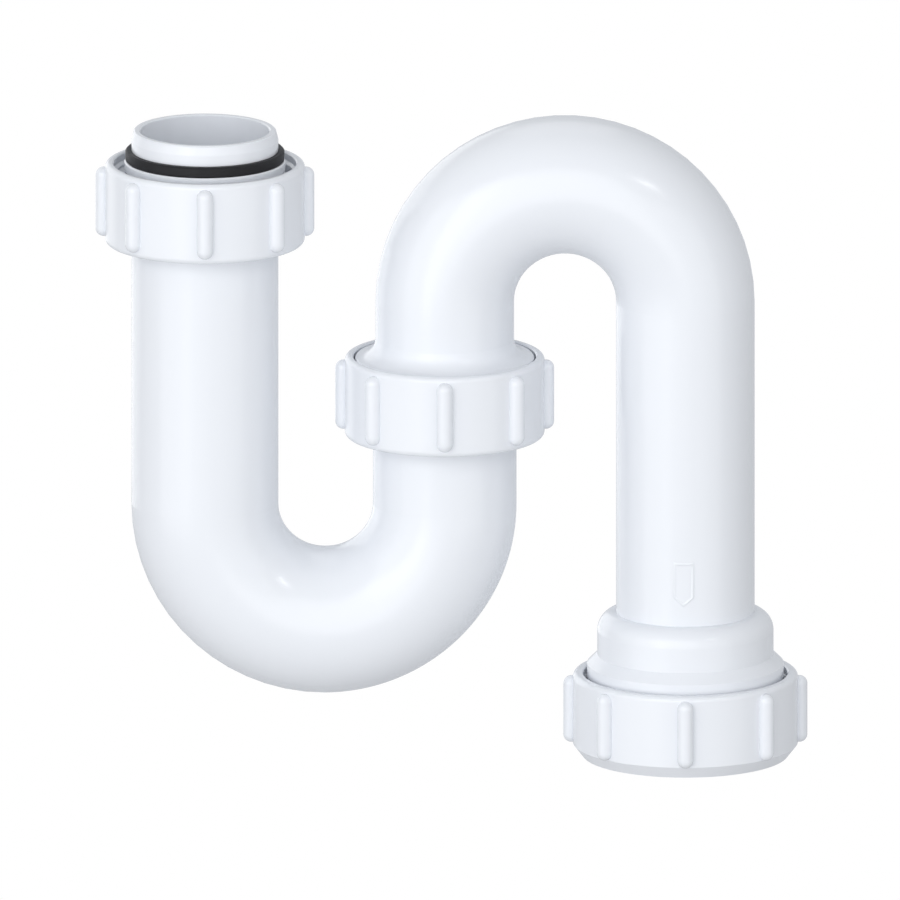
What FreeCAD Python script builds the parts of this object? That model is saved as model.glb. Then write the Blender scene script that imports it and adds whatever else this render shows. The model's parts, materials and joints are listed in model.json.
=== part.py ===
import FreeCAD, Part

import math
import os

import Sketcher
from FreeCAD import Vector

# Tubular swivel S trap for a 32 mm waste, in millimetres, +Z up.
# The origin is on the inlet's axis at the top face of its washer, which is where the sink waste seats.
# +X runs from the inlet towards the outlet.

doc = FreeCAD.newDocument("s_trap")

# Driving dimensions
SIZES = {
    # Trap tube, from the inlet round the lower bend
    "trap_tube_dia": 35.0,
    "trap_tube_wall": 2.1,
    "rising_tube_dia": 34.2,
    "trap_leg_spacing": 57.1,
    "inlet_leg_length": 86.45,
    "rising_leg_length": 25.0,
    # Outlet tube, over the upper bend and down
    "drop_tube_dia": 33.0,
    "drop_tube_wall": 2.2,
    "drop_leg_spacing": 57.3,
    "swivel_leg_length": 24.3,
    "drop_leg_length": 75.8,
    # Spigot that enters the mating thread
    "spigot_rise": 4.8,
    "spigot_lead_rise": 2.25,
    "spigot_lead_inset": 0.5,
    "spigot_mouth_chamfer": 0.3,
    "spigot_edge_chamfer": 0.3,
    # Washer and the groove and flange that hold it
    "washer_dia": 37.9,
    "washer_thickness": 2.55,
    "washer_edge_chamfer": 0.35,
    "washer_groove_depth": 0.3,
    "washer_stretch_gap": 0.05,
    "flange_dia": 38.4,
    "flange_thickness": 2.5,
    "flange_edge_chamfer": 0.3,
    # Union nuts, inlet and middle
    "nut_dia": 47.6,
    "nut_height": 19.5,
    "nut_lip_thickness": 3.25,
    "nut_lip_gap": 0.5,
    "nut_bore_dia": 42.2,
    "nut_mouth_dia": 43.5,
    "nut_mouth_depth": 1.9,
    "nut_edge_round": 1.2,
    "nut_mouth_chamfer": 0.3,
    "inlet_nut_drop": 3.1,
    "lug_count": 8,
    "lug_width": 3.9,
    "lug_height": 16.9,
    "lug_reach": 2.25,
    "lug_top_inset": 1.1,
    # Male end of the outlet tube in the middle nut
    "male_root_dia": 39.0,
    "collar_gap": 0.4,
    "collar_thickness": 1.0,
    "collar_inset": 0.25,
    "collar_fillet": 4.4,
    "collar_edge_chamfer": 0.3,
    "male_end_chamfer": 0.5,
    "spigot_gap": 0.3,
    "spigot_end_gap": 1.2,
    "swivel_face_gap": 0.1,
    "entry_taper_height": 6.0,
    # Pipe socket at the outlet
    "socket_bore_dia": 36.9,
    "socket_dia": 42.0,
    "pipe_stop_wall": 3.0,
    "socket_length": 10.3,
    "cone_height": 2.35,
    "rim_dia": 46.8,
    "rim_height": 3.2,
    "outlet_root_dia": 44.2,
    "outlet_male_length": 9.6,
    "outlet_end_chamfer": 0.4,
    "seal_seat_height": 4.2,
    "seal_seat_dia": 42.0,
    # Compression nut at the outlet
    "outlet_nut_dia": 53.6,
    "outlet_nut_height": 20.1,
    "outlet_nut_lip_thickness": 3.0,
    "outlet_nut_hole_dia": 37.6,
    "outlet_nut_bore_dia": 47.6,
    "outlet_nut_mouth_dia": 48.6,
    "outlet_nut_mouth_depth": 1.9,
    "outlet_nut_mouth_chamfer": 0.3,
    "outlet_nut_edge_round": 1.2,
    "outlet_nut_chamfer_rise": 2.95,
    "outlet_nut_chamfer_inset": 2.3,
    "outlet_nut_overlap": 0.95,
    "outlet_lug_width": 3.8,
    "outlet_lug_height": 16.25,
    "outlet_lug_reach": 2.25,
    "outlet_lug_top_inset": 0.9,
    # Compression seal and its slip washer
    "slip_washer_thickness": 1.5,
    "slip_washer_hole_dia": 37.4,
    "seal_dia": 43.6,
    "seal_hole_dia": 36.8,
    "seal_band_height": 4.3,
    "seal_nose_wall": 0.7,
    "seal_seat_gap": 0.35,
}

# Places and radii worked out from the driving dimensions
PLACES = {
    "tube_radius": "Sizes.trap_tube_dia / 2",
    "tube_lumen": "Sizes.trap_tube_dia / 2 - Sizes.trap_tube_wall",
    "rising_radius": "Sizes.rising_tube_dia / 2",
    "drop_radius": "Sizes.drop_tube_dia / 2",
    "drop_lumen": "Sizes.drop_tube_dia / 2 - Sizes.drop_tube_wall",
    "middle_axis": "Sizes.trap_leg_spacing",
    "outlet_axis": "Sizes.trap_leg_spacing + Sizes.drop_leg_spacing",
    "lower_bend": "-Sizes.inlet_leg_length",
    "middle_seat": "lower_bend + Sizes.rising_leg_length",
    "upper_bend": "middle_seat + Sizes.swivel_leg_length",
    "socket_top": "upper_bend - Sizes.drop_leg_length",
    # Heights in a spigot end, measured from the washer's top face
    "washer_foot": "-Sizes.washer_thickness",
    "flange_foot": "washer_foot - Sizes.flange_thickness",
    "spigot_lead": "Sizes.spigot_rise - Sizes.spigot_lead_rise",
    "groove_radius": "tube_radius - Sizes.washer_groove_depth",
    "washer_hole": "groove_radius + Sizes.washer_stretch_gap",
    "washer_radius": "Sizes.washer_dia / 2",
    "flange_radius": "Sizes.flange_dia / 2",
    "lead_radius": "tube_radius - Sizes.spigot_lead_inset",
    "spigot_mouth": "tube_lumen + Sizes.spigot_mouth_chamfer",
    # Nuts, measured from their own bottom face
    "nut_radius": "Sizes.nut_dia / 2",
    "nut_hole": "tube_radius + Sizes.nut_lip_gap",
    "nut_bore": "Sizes.nut_bore_dia / 2",
    "nut_mouth": "Sizes.nut_mouth_dia / 2",
    "inlet_nut_foot": "-Sizes.inlet_nut_drop - Sizes.nut_height",
    "middle_nut_foot": "middle_seat + flange_foot - Sizes.swivel_face_gap - Sizes.nut_lip_thickness",
    "middle_nut_rim": "middle_nut_foot + Sizes.nut_height",
    "lug_radius": "Sizes.lug_width / 2",
    "lug_centre": "nut_radius + Sizes.lug_reach - lug_radius",
    "lug_top": "Sizes.nut_height - Sizes.lug_top_inset",
    "lug_foot": "lug_top - Sizes.lug_height",
    # Male end of the outlet tube in the middle nut
    "male_radius": "Sizes.male_root_dia / 2",
    "male_foot": "middle_seat + Sizes.swivel_face_gap",
    "collar_radius": "nut_mouth - Sizes.collar_gap",
    "collar_top": "middle_nut_rim - Sizes.collar_inset",
    "collar_foot": "collar_top - Sizes.collar_thickness",
    "spigot_bore": "tube_radius + Sizes.spigot_gap",
    "spigot_bore_top": "middle_seat + Sizes.spigot_rise + Sizes.spigot_end_gap",
    "entry_top": "spigot_bore_top + Sizes.entry_taper_height",
    # Pipe socket and the male end below it
    "socket_radius": "Sizes.socket_dia / 2",
    "socket_bore": "Sizes.socket_bore_dia / 2",
    "shoulder_round": "socket_radius - drop_radius",
    "shoulder_foot": "socket_top - shoulder_round",
    "pipe_stop": "socket_top - Sizes.pipe_stop_wall",
    "cone_top": "socket_top - Sizes.socket_length",
    "cone_foot": "cone_top - Sizes.cone_height",
    "rim_radius": "Sizes.rim_dia / 2",
    "rim_foot": "cone_foot - Sizes.rim_height",
    "outlet_root": "Sizes.outlet_root_dia / 2",
    "outlet_foot": "rim_foot - Sizes.outlet_male_length",
    "seal_seat_radius": "Sizes.seal_seat_dia / 2",
    "seal_seat_top": "outlet_foot + Sizes.seal_seat_height",
    # Compression nut, measured from its own bottom face
    "outlet_nut_radius": "Sizes.outlet_nut_dia / 2",
    "outlet_nut_hole": "Sizes.outlet_nut_hole_dia / 2",
    "outlet_nut_bore": "Sizes.outlet_nut_bore_dia / 2",
    "outlet_nut_mouth": "Sizes.outlet_nut_mouth_dia / 2",
    "outlet_nut_rim": "rim_foot + Sizes.outlet_nut_overlap",
    "outlet_nut_foot": "outlet_nut_rim - Sizes.outlet_nut_height",
    "outlet_lug_radius": "Sizes.outlet_lug_width / 2",
    "outlet_lug_centre": "outlet_nut_radius + Sizes.outlet_lug_reach - outlet_lug_radius",
    "outlet_lug_top": "Sizes.outlet_nut_height - Sizes.outlet_lug_top_inset",
    "outlet_lug_foot": "outlet_lug_top - Sizes.outlet_lug_height",
    # Slip washer on the nut's lip, and the seal on the slip washer
    "slip_washer_foot": "outlet_nut_foot + Sizes.outlet_nut_lip_thickness + Sizes.swivel_face_gap",
    "slip_washer_hole": "Sizes.slip_washer_hole_dia / 2",
    "seal_radius": "Sizes.seal_dia / 2",
    "seal_hole": "Sizes.seal_hole_dia / 2",
    "seal_foot": "slip_washer_foot + Sizes.slip_washer_thickness",
    "seal_nose": "seal_hole + Sizes.seal_nose_wall",
    "seal_band_top": "seal_foot + Sizes.seal_band_height",
    "seat_slope": "(seal_seat_radius - socket_bore) / Sizes.seal_seat_height",
    "seal_cone_foot": "seal_seat_radius - Sizes.seal_seat_gap + (outlet_foot - seal_band_top) * seat_slope",
    "seal_top": "outlet_foot + (seal_seat_radius - Sizes.seal_seat_gap - seal_nose) / seat_slope",
}


def make_sheets():
    """Put the driving dimensions in one sheet and what follows from them in a second one."""
    sizes_sheet = doc.addObject("Spreadsheet::Sheet", "Sizes")
    for row, (name, size) in enumerate(SIZES.items(), start=1):
        sizes_sheet.set(f"A{row}", name)
        sizes_sheet.set(f"B{row}", str(size))
        sizes_sheet.setAlias(f"B{row}", name)
    doc.recompute()
    places_sheet = doc.addObject("Spreadsheet::Sheet", "Places")
    for row, (name, formula) in enumerate(PLACES.items(), start=1):
        places_sheet.set(f"A{row}", name)
        places_sheet.set(f"B{row}", f"={formula}")
        places_sheet.setAlias(f"B{row}", name)
    doc.recompute()
    return sizes_sheet, places_sheet


sizes, places = make_sheets()


def bind(text):
    """Turn a sum of sheet names into an expression, and work it out for the first drawing."""
    words = []
    total = 0.0
    sign = 1
    for word in text.split():
        if word in ("+", "-"):
            sign = 1 if word == "+" else -1
            words.append(word)
        elif word == "0":
            words.append(word)
        else:
            sheet = sizes if word in SIZES else places
            total += sign * getattr(sheet, word)
            words.append(f"{sheet.Name}.{word}")
    return " ".join(words), total


def origin_feature(body, role):
    """Find one of a body's own origin planes or axes."""
    for feature in body.Origin.OriginFeatures:
        if feature.Role == role:
            return feature
    raise ValueError(f"{body.Label} has no {role}")


def new_sketch(body, name, plane="XZ_Plane", across=None, up=None):
    """Start a sketch on one of the body's planes, moved to the axis and height that it is drawn from."""
    sketch = body.newObject("Sketcher::SketchObject", name)
    sketch.AttachmentSupport = [(origin_feature(body, plane), "")]
    sketch.MapMode = "FlatFace"
    lift = "y" if plane == "XZ_Plane" else "z"
    for direction, place in (("x", across), (lift, up)):
        if place:
            sketch.setExpression(f"AttachmentOffset.Base.{direction}", bind(place)[0])
    return sketch


def arc_between(start, end, radius, side):
    """Short arc from start to end; its centre lies to the left (side 1) or right (side -1) of the way."""
    chord = end - start
    middle = (start + end) / 2
    sagitta_leg = max(radius ** 2 - (chord.Length / 2) ** 2, 0.0) ** 0.5
    to_left = Vector(-chord.y, chord.x, 0).normalize()
    centre = middle + to_left * side * sagitta_leg
    first, last = (start, end) if side > 0 else (end, start)
    x_axis = Vector(1, 0, 0)
    angles = []
    for point in (first, last):
        spoke = point - centre
        turn = x_axis.getAngle(spoke)
        angles.append(turn if spoke.y >= 0 else -turn)
    circle = Part.Circle(centre, Vector(0, 0, 1), radius)
    return Part.ArcOfCircle(circle, angles[0], angles[1])


def draw_outline(sketch, corners):
    """Draw a closed outline whose corners take both their places from the sheets.

    A corner is (across, up). Where an arc ends there, the corner goes on with its radius and with the side of
    the way, 1 for left or -1 for right, that its centre lies on.
    """
    points = []
    for corner in corners:
        points.append(Vector(bind(corner[0])[1], bind(corner[1])[1], 0))
    ends = []
    for index in range(len(corners)):
        following = (index + 1) % len(corners)
        target = corners[following]
        if len(target) == 4:
            radius_expression, radius = bind(target[2])
            edge = sketch.addGeometry(arc_between(points[index], points[following], radius, target[3]), False)
            sketch.addConstraint(Sketcher.Constraint("Radius", edge, radius))
            number = sketch.ConstraintCount - 1
            sketch.setExpression(f"Constraints[{number}]", radius_expression)
            ends.append((edge, 1, 2) if target[3] > 0 else (edge, 2, 1))
        else:
            edge = sketch.addGeometry(Part.LineSegment(points[index], points[following]), False)
            ends.append((edge, 1, 2))
    for index, (edge, start, _) in enumerate(ends):
        before, _, before_end = ends[index - 1]
        sketch.addConstraint(Sketcher.Constraint("Coincident", before, before_end, edge, start))
        for kind, text in (("DistanceX", corners[index][0]), ("DistanceY", corners[index][1])):
            expression, distance = bind(text)
            sketch.addConstraint(Sketcher.Constraint(kind, -1, 1, edge, start, distance))
            number = sketch.ConstraintCount - 1
            sketch.setExpression(f"Constraints[{number}]", expression)


def new_body(name, across=None, up=None):
    """Start a sub-part; its own origin lies on its axis, at the named place."""
    body = doc.addObject("PartDesign::Body", name)
    body.Label = name
    for direction, place in (("x", across), ("z", up)):
        if place:
            body.setExpression(f"Placement.Base.{direction}", bind(place)[0])
    return body


def revolve(body, name, corners, across=None, up=None):
    """Turn an outline once round its own upright axis."""
    sketch = new_sketch(body, f"{name}_outline", across=across, up=up)
    draw_outline(sketch, corners)
    turned = body.newObject("PartDesign::Revolution", name)
    turned.Profile = sketch
    turned.ReferenceAxis = (sketch, ["V_Axis"])
    turned.Angle = 360
    sketch.Visibility = False
    return turned


def bend_section(body, name, start, height, spacing, radii):
    """Draw a bend's circles at the foot of one leg, and the axis half way to the next leg that they turn on."""
    sketch = new_sketch(body, f"{name}_section", plane="XY_Plane", across=start, up=height)
    spacing_expression, distance = bind(spacing)
    half_spacing = distance / 2
    axis_line = Part.LineSegment(Vector(half_spacing, -half_spacing, 0), Vector(half_spacing, half_spacing, 0))
    axis = sketch.addGeometry(axis_line, True)
    sketch.addConstraint(Sketcher.Constraint("Vertical", axis))
    places = (
        ("DistanceX", 1, half_spacing, f"{spacing_expression} / 2"),
        ("DistanceY", 1, -half_spacing, f"-{spacing_expression} / 2"),
        ("DistanceY", 2, half_spacing, f"{spacing_expression} / 2"),
    )
    for kind, end, place, expression in places:
        sketch.addConstraint(Sketcher.Constraint(kind, -1, 1, axis, end, place))
        sketch.setExpression(f"Constraints[{sketch.ConstraintCount - 1}]", expression)
    for radius in radii:
        draw_circle(sketch, radius)
    return sketch


def draw_circle(sketch, radius_place):
    """Draw a circle about the sketch's own origin."""
    expression, radius = bind(radius_place)
    circle = sketch.addGeometry(Part.Circle(Vector(0, 0, 0), Vector(0, 0, 1), radius), False)
    sketch.addConstraint(Sketcher.Constraint("Coincident", circle, 3, -1, 1))
    sketch.addConstraint(Sketcher.Constraint("Radius", circle, radius))
    sketch.setExpression(f"Constraints[{sketch.ConstraintCount - 1}]", expression)


def turn_bend(body, name, sketch, angle, upward, kind="Revolution"):
    """Turn a bend's section round its axis, as material or, where kind is Groove, as a bore."""
    turned = body.newObject(f"PartDesign::{kind}", name)
    turned.Profile = sketch
    turned.ReferenceAxis = (sketch, ["Axis0"])
    turned.Angle = angle
    turned.Reversed = not upward
    sketch.Visibility = False
    return turned


def taper_quarter(body, name, end, height, spacing, start_radius, end_radius):
    """Sweep a bend's second quarter, from its lowest point up to the leg at end, between two radii."""
    spacing_expression, distance = bind(spacing)
    height_expression = bind(height)[0]
    bend_radius = distance / 2
    spine = new_sketch(body, f"{name}_spine", across=end, up=height)
    spine.setExpression("AttachmentOffset.Base.x", f"{bind(end)[0]} - {spacing_expression} / 2")
    circle = Part.Circle(Vector(0, 0, 0), Vector(0, 0, 1), bend_radius)
    arc = spine.addGeometry(Part.ArcOfCircle(circle, -math.pi / 2, 0), False)
    spine.addConstraint(Sketcher.Constraint("Coincident", arc, 3, -1, 1))
    spine.addConstraint(Sketcher.Constraint("PointOnObject", arc, 1, -2))
    spine.addConstraint(Sketcher.Constraint("PointOnObject", arc, 2, -1))
    spine.addConstraint(Sketcher.Constraint("Radius", arc, bend_radius))
    spine.setExpression(f"Constraints[{spine.ConstraintCount - 1}]", f"{spacing_expression} / 2")
    first = new_sketch(body, f"{name}_first", plane="YZ_Plane")
    first.setExpression("AttachmentOffset.Base.y", f"{height_expression} - {spacing_expression} / 2")
    first.setExpression("AttachmentOffset.Base.z", f"{bind(end)[0]} - {spacing_expression} / 2")
    draw_circle(first, start_radius)
    last = new_sketch(body, f"{name}_last", plane="XY_Plane", across=end, up=height)
    draw_circle(last, end_radius)
    sweep = body.newObject("PartDesign::AdditivePipe", name)
    sweep.Profile = first
    sweep.Spine = (spine, ["Edge1"])
    sweep.Sections = [(last, [""])]
    sweep.Transformation = "Multisection"
    sweep.Mode = "Frenet"
    for sketch in (spine, first, last):
        sketch.Visibility = False
    return sweep


def spigot_leg(leg_foot, leg_radius):
    """Wall of a trap leg, from its bend up past the flange and the washer's groove to the spigot's mouth."""
    return [
        ("tube_lumen", leg_foot),
        (leg_radius, leg_foot),
        (leg_radius, "flange_foot"),
        ("flange_radius - flange_edge_chamfer", "flange_foot"),
        ("flange_radius", "flange_foot + flange_edge_chamfer"),
        ("flange_radius", "washer_foot - flange_edge_chamfer"),
        ("flange_radius - flange_edge_chamfer", "washer_foot"),
        ("groove_radius", "washer_foot"),
        ("groove_radius", "0"),
        ("tube_radius", "0"),
        ("tube_radius", "spigot_lead"),
        ("lead_radius", "spigot_rise - spigot_edge_chamfer"),
        ("lead_radius - spigot_edge_chamfer", "spigot_rise"),
        ("spigot_mouth", "spigot_rise"),
        ("tube_lumen", "spigot_rise - spigot_mouth_chamfer"),
    ]


def make_u_bend():
    """Inlet leg, lower return bend that narrows as it rises, and short rising leg, moulded in one piece."""
    body = new_body("u_bend")
    revolve(body, "inlet_leg", spigot_leg("- inlet_leg_length", "tube_radius"))
    outside = bend_section(body, "falling_bend", None, "lower_bend", "trap_leg_spacing", ["tube_radius"])
    turn_bend(body, "falling_bend", outside, 90, upward=False)
    taper_quarter(
        body, "rising_bend", "middle_axis", "lower_bend", "trap_leg_spacing", "tube_radius", "rising_radius"
    )
    revolve(body, "rising_leg", spigot_leg("- rising_leg_length", "rising_radius"), "middle_axis", "middle_seat")
    bore = bend_section(body, "bend_bore", None, "lower_bend", "trap_leg_spacing", ["tube_lumen"])
    turn_bend(body, "bend_bore", bore, 180, upward=False, kind="Groove")
    return body


def make_washer(name, across=None, up=None):
    """Flat rubber ring in a spigot's groove; its own origin is on its top face."""
    body = new_body(name, across, up)
    revolve(body, f"{name}_ring", [
        ("washer_hole", "washer_foot + washer_edge_chamfer"),
        ("washer_hole + washer_edge_chamfer", "washer_foot"),
        ("washer_radius - washer_edge_chamfer", "washer_foot"),
        ("washer_radius", "washer_foot + washer_edge_chamfer"),
        ("washer_radius", "- washer_edge_chamfer"),
        ("washer_radius - washer_edge_chamfer", "0"),
        ("washer_hole + washer_edge_chamfer", "0"),
        ("washer_hole", "- washer_edge_chamfer"),
    ])
    return body


def make_nut(name, kind, foot_edge, across=None, up=None):
    """Union nut, mouth up, on a lip that turns under a flange; its own origin is on its bottom face."""
    body = new_body(name, across, up)
    height = f"{kind}nut_height"
    bore = f"{kind}nut_bore"
    mouth = f"{kind}nut_mouth"
    outside = f"{kind}nut_radius"
    lip = f"{kind}nut_lip_thickness"
    edge_round = f"{kind}nut_edge_round"
    mouth_chamfer = f"{kind}nut_mouth_chamfer"
    mouth_foot = f"{height} - {kind}nut_mouth_depth"
    revolve(body, f"{name}_shell", [
        (f"{kind}nut_hole", "0"),
        *foot_edge,
        (outside, f"{height} - {edge_round}"),
        (f"{outside} - {edge_round}", height, edge_round, 1),
        (f"{mouth} + {mouth_chamfer}", height),
        (mouth, f"{height} - {mouth_chamfer}"),
        (mouth, mouth_foot),
        (bore, f"{mouth_foot} - {mouth} + {bore}"),
        (bore, lip),
        (f"{kind}nut_hole", lip),
    ])
    radius = f"{kind}lug_radius"
    top = f"{kind}lug_top"
    foot = f"{kind}lug_foot"
    lug = revolve(body, f"{name}_lug", [
        ("0", foot),
        (radius, f"{foot} + {radius}", radius, 1),
        (radius, f"{top} - {radius}"),
        ("0", top, radius, 1),
    ], across=f"{kind}lug_centre")
    ring = body.newObject("PartDesign::PolarPattern", f"{name}_lugs")
    ring.Originals = [lug]
    ring.Axis = (origin_feature(body, "Z_Axis"), [""])
    ring.Angle = 360
    ring.setExpression("Occurrences", "Sizes.lug_count")
    body.Tip = ring
    return body


def make_outlet_bend():
    """Male end and collar, upper return bend, drop leg, pipe socket and its male end, in one piece."""
    body = new_body("outlet_bend")
    revolve(body, "swivel_leg", [
        ("drop_lumen", "upper_bend"),
        ("drop_lumen", "entry_top"),
        ("spigot_bore", "spigot_bore_top"),
        ("spigot_bore", "male_foot"),
        ("male_radius - male_end_chamfer", "male_foot"),
        ("male_radius", "male_foot + male_end_chamfer"),
        ("male_radius", "collar_foot"),
        ("collar_radius", "collar_foot"),
        ("collar_radius", "collar_top - collar_edge_chamfer"),
        ("collar_radius - collar_edge_chamfer", "collar_top"),
        ("drop_radius + collar_fillet", "collar_top"),
        ("drop_radius", "collar_top + collar_fillet", "collar_fillet", -1),
        ("drop_radius", "upper_bend"),
    ], across="middle_axis")
    ring = bend_section(
        body, "upper_bend", "middle_axis", "upper_bend", "drop_leg_spacing", ["drop_radius", "drop_lumen"]
    )
    turn_bend(body, "upper_bend", ring, 180, upward=True)
    revolve(body, "drop_leg", [
        ("drop_lumen", "upper_bend"),
        ("drop_lumen", "pipe_stop"),
        ("socket_bore", "pipe_stop"),
        ("socket_bore", "seal_seat_top"),
        ("seal_seat_radius", "outlet_foot"),
        ("outlet_root - outlet_end_chamfer", "outlet_foot"),
        ("outlet_root", "outlet_foot + outlet_end_chamfer"),
        ("outlet_root", "rim_foot"),
        ("rim_radius", "rim_foot"),
        ("rim_radius", "cone_foot"),
        ("socket_radius", "cone_top"),
        ("socket_radius", "shoulder_foot"),
        ("drop_radius", "socket_top", "shoulder_round", 1),
        ("drop_radius", "upper_bend"),
    ], across="outlet_axis")
    return body


def make_slip_washer():
    """Plain ring on the outlet nut's lip."""
    body = new_body("slip_washer", "outlet_axis", "slip_washer_foot")
    revolve(body, "slip_ring", [
        ("slip_washer_hole", "0"),
        ("seal_radius", "0"),
        ("seal_radius", "slip_washer_thickness"),
        ("slip_washer_hole", "slip_washer_thickness"),
    ])
    return body


def make_outlet_seal():
    """Compression ring whose tapered nose enters the socket's mouth."""
    body = new_body("outlet_seal", "outlet_axis")
    revolve(body, "seal_ring", [
        ("seal_hole", "seal_foot"),
        ("seal_radius", "seal_foot"),
        ("seal_radius", "seal_band_top"),
        ("seal_cone_foot", "seal_band_top"),
        ("seal_nose", "seal_top"),
        ("seal_hole", "seal_top"),
    ])
    return body


round_foot = [
    ("nut_radius - nut_edge_round", "0"),
    ("nut_radius", "nut_edge_round", "nut_edge_round", 1),
]
chamfered_foot = [
    ("outlet_nut_radius - outlet_nut_chamfer_inset", "0"),
    ("outlet_nut_radius", "outlet_nut_chamfer_rise"),
]

parts = [
    make_u_bend(),
    make_washer("inlet_washer"),
    make_washer("middle_washer", "middle_axis", "middle_seat"),
    make_nut("inlet_nut", "", round_foot, up="inlet_nut_foot"),
    make_nut("middle_nut", "", round_foot, "middle_axis", "middle_nut_foot"),
    make_outlet_bend(),
    make_outlet_seal(),
    make_slip_washer(),
    make_nut("outlet_nut", "outlet_", chamfered_foot, "outlet_axis", "outlet_nut_foot"),
]
doc.recompute()

# Check everything before any file is written
for item in doc.Objects:
    if "Invalid" in item.State or "Error" in item.State:
        raise RuntimeError(f"{item.Label} is not valid: {item.State}")
for part in parts:
    if part.Shape.isNull() or not part.Shape.isValid():
        raise RuntimeError(f"{part.Label} has no valid shape")
    if len(part.Shape.Solids) != 1:
        raise RuntimeError(f"{part.Label} has {len(part.Shape.Solids)} solids")

os.makedirs("parts", exist_ok=True)
for part in parts:
    part.Shape.exportStep(f"parts/{part.Label}.step")
    box = part.Shape.BoundBox
    print(f"{part.Label}: {part.Shape.Volume / 1000:.2f} cm3, z {box.ZMin:.2f} to {box.ZMax:.2f}")
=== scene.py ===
# %% [markdown]
# A tubular S trap: the white plastic pipework that hangs below a sink and keeps sewer air out with the
# water that stands in its lower bend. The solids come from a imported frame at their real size, so this lesson
# never moves or reshapes them. It adds what a solid model leaves out: the screw threads in the nuts, the
# raised flow arrow on the outlet leg, the finish of moulded plastic and rubber, and the studio around them.

# %% Load the frame
import json
import math

import bpy
from mathutils import Matrix, Vector
from mathutils.bvhtree import BVHTree


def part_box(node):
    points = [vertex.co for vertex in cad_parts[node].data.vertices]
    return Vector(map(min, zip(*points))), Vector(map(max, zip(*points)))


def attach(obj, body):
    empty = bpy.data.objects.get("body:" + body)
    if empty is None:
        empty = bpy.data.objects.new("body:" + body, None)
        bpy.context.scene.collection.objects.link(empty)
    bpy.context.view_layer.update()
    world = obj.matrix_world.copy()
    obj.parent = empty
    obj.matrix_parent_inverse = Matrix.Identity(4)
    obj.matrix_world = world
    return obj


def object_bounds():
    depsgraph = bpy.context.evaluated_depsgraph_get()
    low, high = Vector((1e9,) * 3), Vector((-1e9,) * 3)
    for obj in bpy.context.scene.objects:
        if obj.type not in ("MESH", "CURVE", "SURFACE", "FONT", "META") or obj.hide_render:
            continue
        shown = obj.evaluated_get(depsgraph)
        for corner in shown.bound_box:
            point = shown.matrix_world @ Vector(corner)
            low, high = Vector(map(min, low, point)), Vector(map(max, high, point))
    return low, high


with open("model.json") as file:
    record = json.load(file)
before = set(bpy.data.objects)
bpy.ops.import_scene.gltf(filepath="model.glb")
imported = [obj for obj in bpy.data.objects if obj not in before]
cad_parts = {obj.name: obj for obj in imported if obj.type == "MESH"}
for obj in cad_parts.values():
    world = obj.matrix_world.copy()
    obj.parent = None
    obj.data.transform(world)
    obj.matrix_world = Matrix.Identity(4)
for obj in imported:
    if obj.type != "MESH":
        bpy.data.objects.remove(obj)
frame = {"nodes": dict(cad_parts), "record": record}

cad_box = [list(corner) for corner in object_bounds()]
MM = 0.001
print("nodes:", sorted(frame["nodes"]))

# %% [markdown]
# Every place in this file is read from the frame. A round piece's box gives its axis and its foot, and a ray
# cast square to that axis gives the radius of a wall at any height, from outside or from within. The threads
# and the arrow are placed by their heights above the foot of a nut, so they stay on their nuts and tubes if
# the solids are changed.

# %% Read axes, feet and radii from the frame
RAY_START = 100 * MM


def axis_of(node):
    """Upright axis of a round node, as a point on the ground plane."""
    low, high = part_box(node)
    return Vector(((low.x + high.x) / 2, (low.y + high.y) / 2, 0))


def foot_of(node):
    """Height of a node's lowest point."""
    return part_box(node)[0].z


def wall_radius(node, axis, height, inside=False):
    """Radius of a node's wall round an axis at one height, met from outside or from the axis itself."""
    tree = BVHTree.FromObject(frame["nodes"][node], bpy.context.evaluated_depsgraph_get())
    centre = Vector((axis.x, axis.y, height))
    to_front = Vector((0, -1, 0))
    if inside:
        hit = tree.ray_cast(centre, to_front)[0]
    else:
        hit = tree.ray_cast(centre + to_front * RAY_START, -to_front)[0]
    return (hit - centre).length


inlet_axis = axis_of("inlet_nut")
middle_axis = axis_of("middle_nut")
outlet_axis = axis_of("outlet_nut")
inlet_foot = foot_of("inlet_nut")
middle_foot = foot_of("middle_nut")
outlet_foot = foot_of("outlet_nut")
for name, axis, foot in (("inlet", inlet_axis, inlet_foot), ("middle", middle_axis, middle_foot),
                         ("outlet", outlet_axis, outlet_foot)):
    print(f"{name} nut: axis at x = {axis.x / MM:.1f} mm, foot at z = {foot / MM:.1f} mm")

# %% [markdown]
# Moulded plastic is never quite one tone. Its skin has a very fine grain from the steel mould and slow waves
# where the melt cooled, which break up the edge of every highlight. Both come from noise in object space, so
# they run on unbroken from one face to the next. The effect is a node group, because the white shells, the
# slip washer and the rubber all use it, each with its own sizes.
#
# Most of Blender's noise lies between 0.3 and 0.7. That range of the waves is stretched over two values of
# roughness, so that the gloss drifts a little from place to place.

# %% The mould skin group
NOISE_LOW = 0.3
NOISE_HIGH = 0.7


def add_socket(group, name, direction, kind="NodeSocketFloat", value=None):
    """Named input or output of a node group, with its starting value."""
    socket = group.interface.new_socket(name=name, in_out=direction, socket_type=kind)
    if value is not None:
        socket.default_value = value
    return socket


def add_noise(nodes, links, detail):
    """Noise in object space, its scale still to be set."""
    place = nodes.new("ShaderNodeTexCoord")
    noise = nodes.new("ShaderNodeTexNoise")
    noise.inputs["Detail"].default_value = detail
    links.new(place.outputs["Object"], noise.inputs["Vector"])
    return noise


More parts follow.
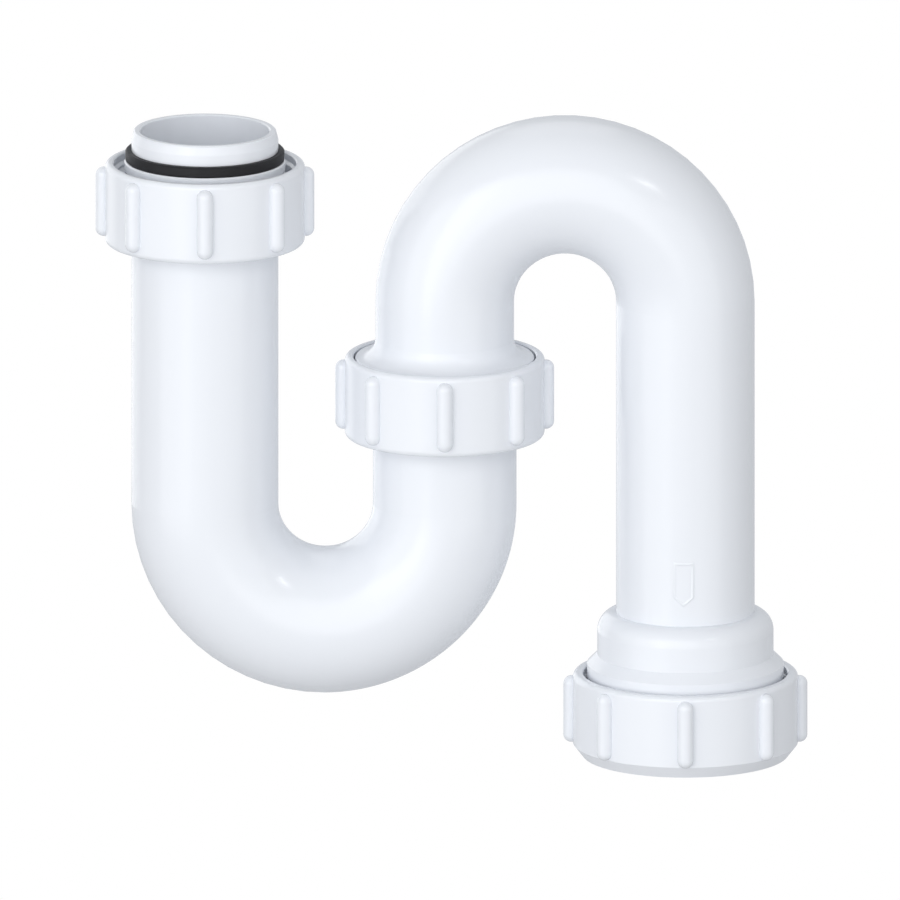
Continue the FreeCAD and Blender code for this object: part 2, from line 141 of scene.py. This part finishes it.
def make_mould_skin():
    """Height and roughness of a moulded surface, from a fine grain and slow cooling waves."""
    group = bpy.data.node_groups.new("mould_skin", "ShaderNodeTree")
    for name, value in (("Grain Scale", 2500.0), ("Wave Scale", 60.0), ("Wave Share", 0.7),
                        ("Roughness Low", 0.2), ("Roughness High", 0.3)):
        add_socket(group, name, "INPUT", value=value)
    add_socket(group, "Height", "OUTPUT")
    add_socket(group, "Roughness", "OUTPUT")
    nodes, links = group.nodes, group.links
    given = nodes.new("NodeGroupInput").outputs
    result = nodes.new("NodeGroupOutput").inputs
    grain = add_noise(nodes, links, detail=2.0)
    links.new(given["Grain Scale"], grain.inputs["Scale"])
    waves = add_noise(nodes, links, detail=3.0)
    links.new(given["Wave Scale"], waves.inputs["Scale"])
    height = nodes.new("ShaderNodeMix")
    links.new(given["Wave Share"], height.inputs["Factor"])
    links.new(grain.outputs["Fac"], height.inputs["A"])
    links.new(waves.outputs["Fac"], height.inputs["B"])
    links.new(height.outputs["Result"], result["Height"])
    gloss = nodes.new("ShaderNodeMapRange")
    gloss.inputs["From Min"].default_value = NOISE_LOW
    gloss.inputs["From Max"].default_value = NOISE_HIGH
    links.new(waves.outputs["Fac"], gloss.inputs["Value"])
    links.new(given["Roughness Low"], gloss.inputs["To Min"])
    links.new(given["Roughness High"], gloss.inputs["To Max"])
    links.new(gloss.outputs["Result"], result["Roughness"])
    return group


mould_skin = make_mould_skin()
print("group:", mould_skin.name)

# %% [markdown]
# The shells are white polypropylene with a cool tint. The tone drifts by less than one part in a hundred over
# a few centimetres, as pigment does in a thick moulding. The base colour therefore passes through a mix of
# two near whites, while everything that is the same all over, such as the index of refraction, is set on the
# shader's own socket.
#
# A mould leaves two kinds of gloss: a broad soft sheen and, on the hardest bright spots, a small sharp one.
# The base roughness makes the first and a thin coat the second. Cycles sorts a reflection by its roughness,
# and above about 0.27 it no longer counts as glossy for the Light Path node that the studio uses. The shells
# stay below that, because a roughness that crossed it would draw sharp-edged patches on them.

# %% The moulded material
PLASTIC_IOR = 1.49
COAT_ROUGHNESS = 0.13


def drifting_colour(nodes, links, tone_a, tone_b, scale):
    """Colour that drifts slowly between two close tones."""
    drift = add_noise(nodes, links, detail=2.0)
    drift.inputs["Scale"].default_value = scale
    tone = nodes.new("ShaderNodeMix")
    tone.data_type = "RGBA"
    tone.inputs["A"].default_value = (*tone_a, 1)
    tone.inputs["B"].default_value = (*tone_b, 1)
    links.new(drift.outputs["Fac"], tone.inputs["Factor"])
    return tone.outputs["Result"]


def make_moulded(name, tones, roughness, grain_scale, wave_scale, wave_share, bump, specular=0.5, coat=0.0):
    """Moulded surface: two close tones, the mould's skin as bump, and its gloss."""
    material = bpy.data.materials.new(name)
    material.use_nodes = True
    nodes, links = material.node_tree.nodes, material.node_tree.links
    shader = nodes["Principled BSDF"]
    shader.inputs["IOR"].default_value = PLASTIC_IOR
    shader.inputs["Specular IOR Level"].default_value = specular
    shader.inputs["Coat Weight"].default_value = coat
    shader.inputs["Coat Roughness"].default_value = COAT_ROUGHNESS
    colour = drifting_colour(nodes, links, *tones, scale=wave_scale / 2)
    links.new(colour, shader.inputs["Base Color"])
    skin = nodes.new("ShaderNodeGroup")
    skin.node_tree = mould_skin
    for socket, value in (("Grain Scale", grain_scale), ("Wave Scale", wave_scale),
                          ("Wave Share", wave_share), ("Roughness Low", roughness[0]),
                          ("Roughness High", roughness[1])):
        skin.inputs[socket].default_value = value
    links.new(skin.outputs["Roughness"], shader.inputs["Roughness"])
    relief = nodes.new("ShaderNodeBump")
    relief.inputs["Strength"].default_value = 1.0
    relief.inputs["Distance"].default_value = bump
    links.new(skin.outputs["Height"], relief.inputs["Height"])
    links.new(relief.outputs["Normal"], shader.inputs["Normal"])
    return material


white_plastic = make_moulded(
    "white_plastic", tones=((0.818, 0.848, 0.9), (0.824, 0.854, 0.906)), roughness=(0.2, 0.26),
    grain_scale=2600.0, wave_scale=55.0, wave_share=0.6, bump=0.006 * MM, coat=0.25,
)
black_rubber = make_moulded(
    "black_rubber", tones=((0.009, 0.009, 0.01), (0.013, 0.013, 0.015)), roughness=(0.45, 0.6),
    grain_scale=4200.0, wave_scale=160.0, wave_share=0.4, bump=0.05 * MM, specular=0.3,
)
slip_plastic = make_moulded(
    "slip_plastic", tones=((0.74, 0.75, 0.76), (0.78, 0.79, 0.8)), roughness=(0.4, 0.5),
    grain_scale=3000.0, wave_scale=90.0, wave_share=0.6, bump=0.03 * MM,
)
materials = {"white_plastic": white_plastic, "black_rubber": black_rubber, "slip_plastic": slip_plastic}
print("materials:", ", ".join(materials))

# %% [markdown]
# The record says which finish each solid has. The two mouldings and three nuts are white, the washers and the
# outlet's seal are black rubber, and the washer that lets the outlet nut slip over its seal is a plainer
# plastic.

# %% Dress the solids
for row in frame["record"]["subparts"]:
    node = frame["nodes"][row["node"]]
    node.data.materials.clear()
    node.data.materials.append(materials[row["material_slot"]])
    print(f"{row['node']}: {row['material_slot']}")

# %% [markdown]
# A union nut holds by its screw thread, the same inch pipe thread at every joint: one turn moves the nut
# 2.309 mm. A thread is a small ridge that follows a helix, which suits Geometry Nodes well. One tree makes
# it for every joint. Its named inputs set the turns, the radius of the wall and the ridge's section, and say
# which way the ridge stands: Inward is 1 in a nut and -1 on a male end.

# %% The thread tree's inputs
PITCH = 2.309 * MM
STEPS_PER_TURN = 96


def start_thread_tree():
    """Tree that holds only the named inputs of a thread, with starting values."""
    tree = bpy.data.node_groups.new("screw_thread", "GeometryNodeTree")
    add_socket(tree, "Geometry", "INPUT", "NodeSocketGeometry")
    for name, value in (("Turns", 4.0), ("Pitch", PITCH), ("Root Radius", 20 * MM),
                        ("Ridge Depth", 1.2 * MM), ("Root Width", 1.6 * MM), ("Crest Width", 0.6 * MM),
                        ("Inward", 1.0), ("Run Out", 0.25)):
        add_socket(tree, name, "INPUT", value=value)
    add_socket(tree, "Steps", "INPUT", "NodeSocketInt", STEPS_PER_TURN)
    add_socket(tree, "Material", "INPUT", "NodeSocketMaterial")
    add_socket(tree, "Geometry", "OUTPUT", "NodeSocketGeometry")
    return tree


thread_tree = start_thread_tree()
thread_inputs = [item for item in thread_tree.interface.items_tree if item.in_out == "INPUT"]
print("thread tree inputs:", [item.name for item in thread_inputs])

# %% [markdown]
# The helix is Blender's spiral with one radius at both ends. Its normals are turned upright, so that the
# section doesn't roll as it climbs. A moulded thread runs out: over its first and last quarter of a turn the
# ridge sinks away. The curve's own radius does this here, because the sweep scales the section by it. The
# scale stops just short of nothing, so that the end caps keep their faces.

# %% The helix
THINNEST = 0.02


def calculate(tree, operation, *values):
    """Result of a math node on sockets or plain numbers."""
    node = tree.nodes.new("ShaderNodeMath")
    node.operation = operation
    for socket, value in zip(node.inputs, values):
        if isinstance(value, (int, float)):
            socket.default_value = value
        else:
            tree.links.new(value, socket)
    return node.outputs[0]


def add_helix(tree, given):
    """Upright helix that climbs one pitch in each turn and thins out at both ends."""
    nodes, links = tree.nodes, tree.links
    spiral = nodes.new("GeometryNodeCurveSpiral")
    links.new(given["Steps"], spiral.inputs["Resolution"])
    links.new(given["Turns"], spiral.inputs["Rotations"])
    links.new(given["Root Radius"], spiral.inputs["Start Radius"])
    links.new(given["Root Radius"], spiral.inputs["End Radius"])
    links.new(calculate(tree, "MULTIPLY", given["Turns"], given["Pitch"]), spiral.inputs["Height"])
    upright = nodes.new("GeometryNodeSetCurveNormal")
    upright.mode = "Z_UP"
    links.new(spiral.outputs["Curve"], upright.inputs["Curve"])
    along = nodes.new("GeometryNodeSplineParameter").outputs["Factor"]
    to_end = calculate(tree, "MINIMUM", along, calculate(tree, "SUBTRACT", 1.0, along))
    turns_to_end = calculate(tree, "MULTIPLY", to_end, given["Turns"])
    fade = calculate(tree, "DIVIDE", turns_to_end, given["Run Out"])
    size = calculate(tree, "MAXIMUM", calculate(tree, "MINIMUM", fade, 1.0), THINNEST)
    thick = nodes.new("GeometryNodeSetCurveRadius")
    links.new(upright.outputs["Curve"], thick.inputs["Curve"])
    links.new(size, thick.inputs["Radius"])
    return thick.outputs["Curve"]


thread_given = thread_tree.nodes.new("NodeGroupInput").outputs
helix = add_helix(thread_tree, thread_given)
print("helix nodes:", len(thread_tree.nodes))

# %% [markdown]
# The section is a trapezoid, wide at the root and narrow at the crest. It is turned on its side and moved by
# half its depth, so that its root lies on the helix and its crest points inwards or outwards.

# %% The ridge's section


def add_section(tree, given):
    """Trapezoid with its root on the helix."""
    nodes, links = tree.nodes, tree.links
    profile = nodes.new("GeometryNodeCurvePrimitiveQuadrilateral")
    profile.mode = "TRAPEZOID"
    links.new(given["Ridge Depth"], profile.inputs["Height"])
    links.new(given["Root Width"], profile.inputs["Bottom Width"])
    links.new(given["Crest Width"], profile.inputs["Top Width"])
    profile.inputs["Offset"].default_value = 0.0
    stand = nodes.new("GeometryNodeTransform")
    links.new(profile.outputs["Curve"], stand.inputs["Geometry"])
    lift = nodes.new("ShaderNodeCombineXYZ")
    half_depth = calculate(tree, "MULTIPLY", given["Ridge Depth"], 0.5)
    links.new(calculate(tree, "MULTIPLY", half_depth, given["Inward"]), lift.inputs["X"])
    links.new(lift.outputs["Vector"], stand.inputs["Translation"])
    turn = nodes.new("ShaderNodeCombineXYZ")
    links.new(calculate(tree, "MULTIPLY", given["Inward"], -math.pi / 2), turn.inputs["Z"])
    links.new(turn.outputs["Vector"], stand.inputs["Rotation"])
    return stand.outputs["Geometry"]


ridge_section = add_section(thread_tree, thread_given)
print("helix and section nodes:", len(thread_tree.nodes))

# %% [markdown]
# The section is swept along the helix with its ends capped, so that the ridge is a closed solid. Realize
# Instances and Set Material come last, because the export drops instances and looks for a material.

# %% Sweep the ridge


def finish_thread_tree(tree, given, path, section):
    """Sweep the section along the path and give the ridge its material."""
    nodes, links = tree.nodes, tree.links
    sweep = nodes.new("GeometryNodeCurveToMesh")
    sweep.inputs["Fill Caps"].default_value = True
    links.new(path, sweep.inputs["Curve"])
    links.new(section, sweep.inputs["Profile Curve"])
    realize = nodes.new("GeometryNodeRealizeInstances")
    links.new(sweep.outputs["Mesh"], realize.inputs["Geometry"])
    paint = nodes.new("GeometryNodeSetMaterial")
    links.new(realize.outputs["Geometry"], paint.inputs["Geometry"])
    links.new(given["Material"], paint.inputs["Material"])
    links.new(paint.outputs["Geometry"], nodes.new("NodeGroupOutput").inputs["Geometry"])


finish_thread_tree(thread_tree, thread_given, helix, ridge_section)
print("thread tree:", len(thread_tree.nodes), "nodes,", len(thread_tree.links), "links")

# %% [markdown]
# The tree runs as a modifier on an empty mesh. Each input is set by its socket's identifier before Blender
# first evaluates it. The evaluated mesh is then copied out, moved on to its axis and turned into a plain
# piece that rides on the body of its nut or tube, so that it turns and travels with it. Its root is buried a
# little in the wall, which leaves no slit between them.

# %% Run the thread tree
BURIED = 0.06 * MM
THREAD_SHARP_ANGLE = math.radians(25)


def make_thread(name, body, axis, foot, span, wall, ridge, inward):
    """One helical ridge on a wall of that radius, between two heights above a nut's foot."""
    host = bpy.data.objects.new(name, bpy.data.meshes.new(name))
    bpy.context.scene.collection.objects.link(host)
    modifier = host.modifiers.new("thread", "NODES")
    modifier.node_group = thread_tree
    side = 1 if inward else -1
    values = dict(ridge)
    values["Inward"] = float(side)
    values["Root Radius"] = wall + side * BURIED
    values["Turns"] = (span[1] - span[0]) / PITCH
    values["Material"] = white_plastic
    for item in thread_inputs:
        if item.name in values:
            modifier[item.identifier] = values[item.name]
    depsgraph = bpy.context.evaluated_depsgraph_get()
    mesh = bpy.data.meshes.new_from_object(host.evaluated_get(depsgraph))
    host.modifiers.remove(modifier)
    host.data = mesh
    mesh.transform(Matrix.Translation((axis.x, axis.y, foot + span[0])))
    mesh.shade_smooth()
    mesh.set_sharp_from_angle(angle=THREAD_SHARP_ANGLE)
    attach(host, body)
    radii = [math.hypot(vertex.co.x - axis.x, vertex.co.y - axis.y) / MM for vertex in mesh.vertices]
    print(f"{name}: {len(mesh.polygons)} faces, radius {min(radii):.2f} to {max(radii):.2f} mm")


# %% [markdown]
# The inlet nut's thread takes the tail of the sink's waste, so it has the full depth. The middle nut only
# turns in place here, so its ridge and the one on the tube are kept shallow enough to pass each other.
#
# The outlet nut screws on to the outlet bend, and both ridges lie on one helix while it is undone. The male
# ridge starts one and a half pitches above the nut's, so each lies in the other's groove the whole way.
#
# All heights here are measured up from the foot of the nut. A span is where a ridge starts and ends, and a
# probe is where a ray measures the wall that carries it.

# %% Threads of the three nuts and two male ends
FULL_RIDGE = {"Ridge Depth": 1.35 * MM, "Root Width": 1.65 * MM, "Crest Width": 0.45 * MM}
SHALLOW_RIDGE = {"Ridge Depth": 0.65 * MM, "Root Width": 1.2 * MM, "Crest Width": 0.5 * MM}
INLET_NUT_SPAN = (5.0 * MM, 15.6 * MM)
INLET_PROBE = 10 * MM
MIDDLE_NUT_SPAN = (7.0 * MM, 15.8 * MM)
MIDDLE_MALE_SPAN = (9.7 * MM, 16.9 * MM)
MIDDLE_PROBE = 12 * MM
OUTLET_NUT_SPAN = (7.3 * MM, 16.4 * MM)
OUTLET_MALE_SPAN = (OUTLET_NUT_SPAN[0] + 1.5 * PITCH, 18.0 * MM)
OUTLET_NUT_PROBE = 12 * MM
OUTLET_MALE_PROBE = 14 * MM

inlet_wall = wall_radius("inlet_nut", inlet_axis, inlet_foot + INLET_PROBE, inside=True)
make_thread("inlet_nut_thread", "inlet_nut", inlet_axis, inlet_foot, INLET_NUT_SPAN,
            inlet_wall, FULL_RIDGE, inward=True)

middle_wall = wall_radius("middle_nut", middle_axis, middle_foot + MIDDLE_PROBE, inside=True)
make_thread("middle_nut_thread", "middle_nut", middle_axis, middle_foot, MIDDLE_NUT_SPAN,
            middle_wall, SHALLOW_RIDGE, inward=True)
middle_male = wall_radius("outlet_bend", middle_axis, middle_foot + MIDDLE_PROBE)
make_thread("middle_male_thread", "outlet_bend", middle_axis, middle_foot, MIDDLE_MALE_SPAN,
            middle_male, SHALLOW_RIDGE, inward=False)

outlet_wall = wall_radius("outlet_nut", outlet_axis, outlet_foot + OUTLET_NUT_PROBE, inside=True)
make_thread("outlet_nut_thread", "outlet_nut", outlet_axis, outlet_foot, OUTLET_NUT_SPAN,
            outlet_wall, FULL_RIDGE, inward=True)
outlet_male = wall_radius("outlet_bend", outlet_axis, outlet_foot + OUTLET_MALE_PROBE)
make_thread("outlet_male_thread", "outlet_bend", outlet_axis, outlet_foot, OUTLET_MALE_SPAN,
            outlet_male, FULL_RIDGE, inward=False)

# %% [markdown]
# A raised arrow on the front of the outlet leg shows which way the water runs. It is a plain border in the
# outline of a pentagon with its point down, moulded on the tube a little to the left of its middle. The
# border is a low trapezoid section that runs once round the pentagon, shaded smooth so that it reads as a
# rounded ridge. It is drawn flat as across and up, and each point is then wrapped on to the tube: the
# distance across becomes an angle. Up is measured from the foot of the outlet nut.

# %% The arrow's outline
ARROW_HALF_WIDTH = 2.65 * MM
ARROW_OFFSET = -0.4 * MM
ARROW_TOP = 50.8 * MM
ARROW_SHOULDER = 41.95 * MM
ARROW_TIP = 39.6 * MM


def pentagon(inset):
    """Corners of the arrow's outline, across and up, brought in by a distance on every side."""
    slope = (ARROW_SHOULDER - ARROW_TIP) / ARROW_HALF_WIDTH
    half_width = ARROW_HALF_WIDTH - inset
    tip = ARROW_TIP + inset * math.hypot(1, slope)
    shoulder = tip + slope * half_width
    top = ARROW_TOP - inset
    return [(-half_width, top), (-half_width, shoulder), (0, tip), (half_width, shoulder), (half_width, top)]


print("arrow's corners in mm:", [(round(across / MM, 2), round(up / MM, 2)) for across, up in pentagon(0)])

# %% [markdown]
# The border is four rings of points, one for each corner of its section, with faces from ring to ring. The
# inner and the outer foot are buried in the tube's wall, as the threads' roots are.

# %% The flow arrow
BORDER_WIDTH = 0.95 * MM
BORDER_HEIGHT = 0.21 * MM
BORDER_DRAFT = 0.38 * MM
STEPS_PER_SIDE = 8
ARROW_SHARP_ANGLE = math.radians(60)
LEG_PROBE = 45 * MM


def on_tube(axis, tube_radius, across, height, lift):
    """Point on the front of a tube, a distance across from its middle and lifted off its wall."""
    angle = across / tube_radius
    radius = tube_radius + lift
    return (axis.x + radius * math.sin(angle), axis.y - radius * math.cos(angle), height)


def border_ring(inset, lift, axis, foot, tube_radius):
    """Points once round the pentagon, at one corner of the border's section."""
    corners = pentagon(inset)
    ring = []
    for start, end in zip(corners, corners[1:] + corners[:1]):
        for step in range(STEPS_PER_SIDE):
            part = step / STEPS_PER_SIDE
            across = start[0] + (end[0] - start[0]) * part
            up = start[1] + (end[1] - start[1]) * part
            ring.append(on_tube(axis, tube_radius, across + ARROW_OFFSET, foot + up, lift))
    return ring


def make_arrow(name, body, axis, foot, tube_radius):
    """Raised border on the front of a tube."""
    section = [(0, -BURIED), (BORDER_DRAFT, BORDER_HEIGHT), (BORDER_WIDTH - BORDER_DRAFT, BORDER_HEIGHT),
               (BORDER_WIDTH, -BURIED)]
    rings = [border_ring(inset, lift, axis, foot, tube_radius) for inset, lift in section]
    around = len(rings[0])
    faces = []
    for this_ring in range(len(rings)):
        next_ring = (this_ring + 1) % len(rings)
        for step in range(around):
            next_step = (step + 1) % around
            faces.append((this_ring * around + step, this_ring * around + next_step,
                          next_ring * around + next_step, next_ring * around + step))
    mesh = bpy.data.meshes.new(name)
    mesh.from_pydata([point for ring in rings for point in ring], [], faces)
    mesh.materials.append(white_plastic)
    mesh.shade_smooth()
    mesh.set_sharp_from_angle(angle=ARROW_SHARP_ANGLE)
    arrow = bpy.data.objects.new(name, mesh)
    bpy.context.scene.collection.objects.link(arrow)
    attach(arrow, body)
    return arrow


leg_radius = wall_radius("outlet_bend", outlet_axis, outlet_foot + LEG_PROBE)
flow_arrow = make_arrow("flow_arrow", "outlet_bend", outlet_axis, outlet_foot, leg_radius)
print(f"flow arrow: {len(flow_arrow.data.polygons)} faces on a tube of radius {leg_radius / MM:.2f} mm")

# %% [markdown]
# The studio is a plain white one, in which the trap hangs well clear of the floor, as it does below a sink.
# The background is pure white to the camera only. Glossy rays meet a darker and cooler white, which gives the
# plastic its pale bluish edges, and matt surfaces are lit by a dimmer world, so that the lamps can shape the
# tubes. The floor and the world share this split: a Light Path node tells which kind of ray is asking.

# %% Split what rays see
WHITE = (1.0, 1.0, 1.0, 1.0)
MIRRORED_COLOUR = (0.91, 0.945, 1.0, 1.0)
MIRRORED_LEVEL = 0.7


def split_by_ray(nodes, links, plain, mirrored, white):
    """Shader that is white to the camera, a second one to glossy rays and a plain one to all others."""
    path = nodes.new("ShaderNodeLightPath")
    first = nodes.new("ShaderNodeMixShader")
    links.new(path.outputs["Is Glossy Ray"], first.inputs["Fac"])
    links.new(plain.outputs[0], first.inputs[1])
    links.new(mirrored.outputs[0], first.inputs[2])
    second = nodes.new("ShaderNodeMixShader")
    links.new(path.outputs["Is Camera Ray"], second.inputs["Fac"])
    links.new(first.outputs[0], second.inputs[1])
    links.new(white.outputs[0], second.inputs[2])
    return second.outputs[0]


print(f"mirrored surroundings: {MIRRORED_LEVEL} of full white")

# %% [markdown]
# The floor is a large square below the trap. It is matt grey to the light that bounces off it, and it keeps
# the undersides of the bends from going dark.

# %% Floor
FLOOR_DROP = 1.2
FLOOR_SIZE = 8.0
FLOOR_GREY = (0.6, 0.6, 0.6, 1.0)


def make_floor_material():
    """Matt grey to light and white to the camera."""
    material = bpy.data.materials.new("studio_floor")
    material.use_nodes = True
    nodes, links = material.node_tree.nodes, material.node_tree.links
    nodes.clear()
    matt = nodes.new("ShaderNodeBsdfDiffuse")
    matt.inputs["Color"].default_value = FLOOR_GREY
    mirrored = nodes.new("ShaderNodeEmission")
    mirrored.inputs["Color"].default_value = MIRRORED_COLOUR
    mirrored.inputs["Strength"].default_value = MIRRORED_LEVEL
    surface = split_by_ray(nodes, links, matt, mirrored, nodes.new("ShaderNodeEmission"))
    links.new(surface, nodes.new("ShaderNodeOutputMaterial").inputs["Surface"])
    return material


def make_floor(centre, height):
    """Large level square below the object."""
    mesh = bpy.data.meshes.new("floor")
    half = FLOOR_SIZE / 2
    corners = [(-half, -half, 0), (half, -half, 0), (half, half, 0), (-half, half, 0)]
    mesh.from_pydata(corners, [], [(0, 1, 2, 3)])
    mesh.transform(Matrix.Translation((centre.x, centre.y, height)))
    mesh.materials.append(make_floor_material())
    floor = bpy.data.objects.new("floor", mesh)
    bpy.context.scene.collection.objects.link(floor)


CENTRE = (Vector(cad_box[0]) + Vector(cad_box[1])) / 2
floor_height = cad_box[0][2] - FLOOR_DROP
make_floor(CENTRE, floor_height)
print(f"floor at z = {floor_height:.3f} m")

# %% [markdown]
# The world takes the same split with three plain backgrounds. Its level for matt surfaces fills the shadows
# that the lamps leave.

# %% World
WORLD_LEVEL = 0.53


def make_world():
    """Plain white surroundings at three levels: for matt surfaces, for glossy rays and for the camera."""
    world = bpy.data.worlds.new("studio")
    world.use_nodes = True
    nodes, links = world.node_tree.nodes, world.node_tree.links
    nodes.clear()
    shades = []
    for colour, strength in ((WHITE, WORLD_LEVEL), (MIRRORED_COLOUR, MIRRORED_LEVEL), (WHITE, 1.0)):
        shade = nodes.new("ShaderNodeBackground")
        shade.inputs["Color"].default_value = colour
        shade.inputs["Strength"].default_value = strength
        shades.append(shade)
    surface = split_by_ray(nodes, links, *shades)
    links.new(surface, nodes.new("ShaderNodeOutputWorld").inputs["Surface"])
    bpy.context.scene.world = world


make_world()
print(f"world at {WORLD_LEVEL} of full white")

# %% [markdown]
# A lamp's place is a direction from the object and a distance. The direction is an angle round the object,
# counted from the front towards the right, and a height angle. Its power is worked out from the share of full
# white that it gives a card facing it, so that all the shares together stay near one and pale plastic doesn't
# burn out.
#
# The key lamp stands nearly in front, level with the camera, and a broad one to the left carries its light
# round the tubes. One behind on the left draws their thin bright left edges, and a weaker fill keeps the
# right side from going dark. One high at the back lights the rims from above, and a very small one makes the
# short sharp highlights on the two bends.

# %% Lamps
LAMP_DISTANCE = 2.0
GLINT_DISTANCE = 1.6


def make_lamp(name, round_angle, height_angle, size, share, distance=LAMP_DISTANCE):
    """Flat soft lamp, its size across and up, that gives a card facing it that share of full white."""
    light = bpy.data.lights.new(name, "AREA")
    light.shape = "RECTANGLE"
    light.size, light.size_y = size
    light.energy = share * math.pi ** 2 * distance ** 2
    lamp = bpy.data.objects.new(name, light)
    lamp.visible_camera = False
    turn = math.radians(round_angle)
    lift = math.radians(height_angle)
    way = Vector((math.sin(turn) * math.cos(lift), -math.cos(turn) * math.cos(lift), math.sin(lift)))
    lamp.location = CENTRE + way * distance
    lamp.rotation_euler = (-way).to_track_quat("-Z", "Y").to_euler()
    bpy.context.scene.collection.objects.link(lamp)
    print(f"{name} lamp: {share} of full white from {round_angle} degrees round and {height_angle} up")


make_lamp("key", round_angle=-12, height_angle=14, size=(2.2, 2.0), share=0.44)
make_lamp("side", round_angle=-48, height_angle=8, size=(2.0, 2.0), share=0.28)
make_lamp("left", round_angle=-146, height_angle=6, size=(1.7, 1.5), share=0.15)
make_lamp("fill", round_angle=40, height_angle=3, size=(1.6, 1.6), share=0.12)
make_lamp("back", round_angle=180, height_angle=55, size=(1.2, 1.2), share=0.06)
make_lamp("glint", round_angle=43, height_angle=39, size=(0.26, 0.07), share=0.035, distance=GLINT_DISTANCE)

# %% [markdown]
# The photograph shows no perspective: rings of one size stay one size from the inlet down to the outlet nut.
# An orthographic camera gives that exactly. It looks down on the trap by 13.57 degrees, and its scale is the
# width of the frame in metres, at 4.2 pixels for each millimetre. It is aimed at the point in the trap's
# plane that the middle of the photograph shows.

# %% Camera
PHOTO_PIXELS = 900
PIXELS_PER_MM = 4.2
FRAME_WIDTH = PHOTO_PIXELS / PIXELS_PER_MM * MM
CAMERA_ELEVATION = math.radians(13.57)
CAMERA_DISTANCE = 5.0
CAMERA_REACH = 50.0
FRAME_MIDDLE = Vector((58.36, 0, -73.6)) * MM

camera_data = bpy.data.cameras.new("camera")
camera_data.type = "ORTHO"
camera_data.ortho_scale = FRAME_WIDTH
camera_data.clip_end = CAMERA_REACH
camera = bpy.data.objects.new("camera", camera_data)
to_camera = Vector((0, -math.cos(CAMERA_ELEVATION), math.sin(CAMERA_ELEVATION)))
camera.location = FRAME_MIDDLE + to_camera * CAMERA_DISTANCE
camera.rotation_euler = (-to_camera).to_track_quat("-Z", "Y").to_euler()
bpy.context.scene.collection.objects.link(camera)
bpy.context.scene.camera = camera
bpy.context.scene.view_settings.view_transform = "Standard"
print(f"frame {FRAME_WIDTH / MM:.1f} mm wide")
